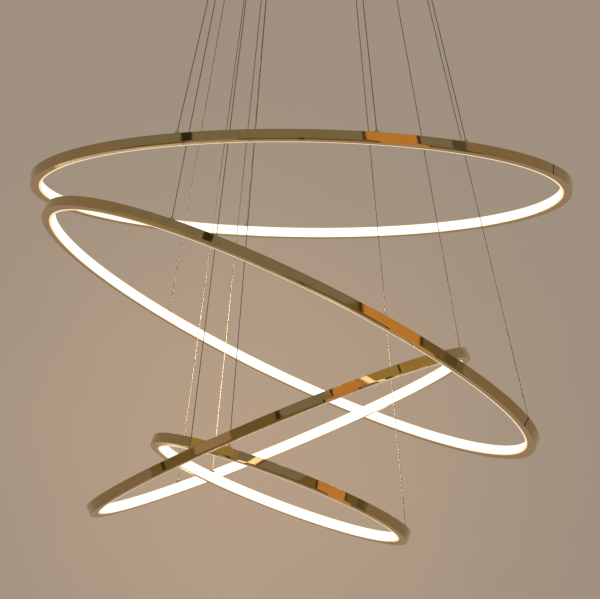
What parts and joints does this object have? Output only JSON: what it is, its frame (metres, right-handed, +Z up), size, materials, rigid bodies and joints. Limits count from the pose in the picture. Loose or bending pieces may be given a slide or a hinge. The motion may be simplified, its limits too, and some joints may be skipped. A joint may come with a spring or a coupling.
{
  "type": "pendant chandelier",
  "caption": "Pendant chandelier of lit metal rings at different tilts, each hung from a round ceiling canopy on thin adjustable wires.",
  "frame": {"origin": "on the ceiling, at the middle of the canopy and of its two screw slots", "axes": "+Z up, out of the ceiling bracket towards the ceiling; +X to the right and +Y to the back of the view in the picture, along the row of screw slots and across it"},
  "size_m": [0.8001, 0.8, 1.0449],
  "materials": {
    "gold_profile": "mirror-polished, gold-plated",
    "opal_diffuser": "opal, lit from behind with warm light",
    "lamp_strip": "white lamp strip on a flexible board",
    "gold_fitting": "polished",
    "gold_sheet": "polished, gold-plated sheet",
    "steel_wire": "stranded, bare",
    "zinc_steel": "zinc-plated",
    "driver_case": "fine-grained moulded plastic",
    "terminal_plastic": "moulded plastic"
  },
  "bodies": {
    "canopy": {"canopy_cap_nuts": "gold_fitting", "canopy_cup": "gold_sheet", "canopy_studs": "zinc_steel", "ceiling_bracket": "zinc_steel", "driver_back": "driver_case", "driver_front": "driver_case", "mains_terminal_block": "terminal_plastic", "ring_1_wires": "steel_wire", "ring_2_left_wires": "steel_wire", "ring_2_right_wire": "steel_wire", "ring_3_left_wires": "steel_wire", "ring_3_right_wire": "steel_wire", "ring_4_left_wires": "steel_wire", "ring_4_right_wire": "steel_wire", "wire_grips": "gold_fitting"},
    "ring_1": {"ring_1_channel": "gold_profile", "ring_1_diffuser": "opal_diffuser", "ring_1_lamp_strip": "lamp_strip", "ring_1_wire_collars": "gold_fitting"},
    "ring_2": {"ring_2_channel": "gold_profile", "ring_2_diffuser": "opal_diffuser", "ring_2_lamp_strip": "lamp_strip", "ring_2_wire_collars": "gold_fitting"},
    "ring_3": {"ring_3_channel": "gold_profile", "ring_3_diffuser": "opal_diffuser", "ring_3_lamp_strip": "lamp_strip", "ring_3_wire_collars": "gold_fitting"},
    "ring_4": {"ring_4_channel": "gold_profile", "ring_4_diffuser": "opal_diffuser", "ring_4_lamp_strip": "lamp_strip", "ring_4_wire_collars": "gold_fitting"},
    "plunger_1_front_left": {"release_plunger_1_front_left": "gold_fitting"},
    "plunger_1_front_middle": {"release_plunger_1_front_middle": "gold_fitting"},
    "plunger_1_front_right": {"release_plunger_1_front_right": "gold_fitting"},
    "plunger_1_back": {"release_plunger_1_back": "gold_fitting"},
    "plunger_2_front_left": {"release_plunger_2_front_left": "gold_fitting"},
    "plunger_2_back_left": {"release_plunger_2_back_left": "gold_fitting"},
    "plunger_2_right": {"release_plunger_2_right": "gold_fitting"},
    "plunger_3_front_left": {"release_plunger_3_front_left": "gold_fitting"},
    "plunger_3_back_left": {"release_plunger_3_back_left": "gold_fitting"},
    "plunger_3_right": {"release_plunger_3_right": "gold_fitting"},
    "plunger_4_front_left": {"release_plunger_4_front_left": "gold_fitting"},
    "plunger_4_back_left": {"release_plunger_4_back_left": "gold_fitting"},
    "plunger_4_right": {"release_plunger_4_right": "gold_fitting"}
  },
  "joints": [
    {"name": "ring_1_lift", "type": "slide", "parent": "canopy", "child": "ring_1", "axis": [0, 0, 1], "range_m": [0, 0.1], "deforming": ["ring_1_wires"]},
    {"name": "ring_2_tilt", "type": "hinge", "parent": "canopy", "child": "ring_2", "pos_m": [-0.21927, -0.00648, -0.64048], "axis": [0.048, -0.9987, 0.0197], "range_deg": [0, 25], "deforming": ["ring_2_right_wire"]},
    {"name": "ring_3_tilt", "type": "hinge", "parent": "canopy", "child": "ring_3", "pos_m": [0.20737, 0.01749, -0.76209], "axis": [-0.0724, 0.9973, 0.0151], "range_deg": [0, 22.5], "deforming": ["ring_3_left_wires"]},
    {"name": "ring_4_tilt", "type": "hinge", "parent": "canopy", "child": "ring_4", "pos_m": [-0.1445, -0.00899, -0.92346], "axis": [0.0995, -0.995, -0.0079], "range_deg": [0, 20.5], "deforming": ["ring_4_right_wire"]},
    {"name": "release_1_front_left", "type": "slide", "parent": "canopy", "child": "plunger_1_front_left", "axis": [0.1315, 0.5475, 0.8264], "range_m": [0, 0.002], "stiffness_N_per_m": 60, "springref_m": -0.004},
    {"name": "release_1_front_middle", "type": "slide", "parent": "canopy", "child": "plunger_1_front_middle", "axis": [-0.0629, 0.4754, 0.8775], "range_m": [0, 0.002], "stiffness_N_per_m": 60, "springref_m": -0.004},
    {"name": "release_1_front_right", "type": "slide", "parent": "canopy", "child": "plunger_1_front_right", "axis": [-0.1395, 0.5, 0.8547], "range_m": [0, 0.002], "stiffness_N_per_m": 60, "springref_m": -0.004},
    {"name": "release_1_back", "type": "slide", "parent": "canopy", "child": "plunger_1_back", "axis": [0.087, -0.5735, 0.8146], "range_m": [0, 0.002], "stiffness_N_per_m": 60, "springref_m": -0.004},
    {"name": "release_2_front_left", "type": "slide", "parent": "canopy", "child": "plunger_2_front_left", "axis": [0.1314, 0.4385, 0.8891], "range_m": [0, 0.002], "stiffness_N_per_m": 60, "springref_m": -0.004},
    {"name": "release_2_back_left", "type": "slide", "parent": "canopy", "child": "plunger_2_back_left", "axis": [0.1791, -0.4093, 0.8946], "range_m": [0, 0.002], "stiffness_N_per_m": 60, "springref_m": -0.004},
    {"name": "release_2_right", "type": "slide", "parent": "canopy", "child": "plunger_2_right", "axis": [-0.2182, 0.0255, 0.9756], "range_m": [0, 0.002], "stiffness_N_per_m": 60, "springref_m": -0.004},
    {"name": "release_3_front_left", "type": "slide", "parent": "canopy", "child": "plunger_3_front_left", "axis": [0.1064, 0.1804, 0.9778], "range_m": [0, 0.002], "stiffness_N_per_m": 60, "springref_m": -0.004},
    {"name": "release_3_back_left", "type": "slide", "parent": "canopy", "child": "plunger_3_back_left", "axis": [0.136, -0.1718, 0.9757], "range_m": [0, 0.002], "stiffness_N_per_m": 60, "springref_m": -0.004},
    {"name": "release_3_right", "type": "slide", "parent": "canopy", "child": "plunger_3_right", "axis": [-0.1584, 0.0986, 0.9824], "range_m": [0, 0.002], "stiffness_N_per_m": 60, "springref_m": -0.004},
    {"name": "release_4_front_left", "type": "slide", "parent": "canopy", "child": "plunger_4_front_left", "axis": [0.0752, 0.0713, 0.9946], "range_m": [0, 0.002], "stiffness_N_per_m": 60, "springref_m": -0.004},
    {"name": "release_4_back_left", "type": "slide", "parent": "canopy", "child": "plunger_4_back_left", "axis": [0.1001, -0.059, 0.9932], "range_m": [0, 0.002], "stiffness_N_per_m": 60, "springref_m": -0.004},
    {"name": "release_4_right", "type": "slide", "parent": "canopy", "child": "plunger_4_right", "axis": [-0.0823, 0.1022, 0.9913], "range_m": [0, 0.002], "stiffness_N_per_m": 60, "springref_m": -0.004}
  ]
}
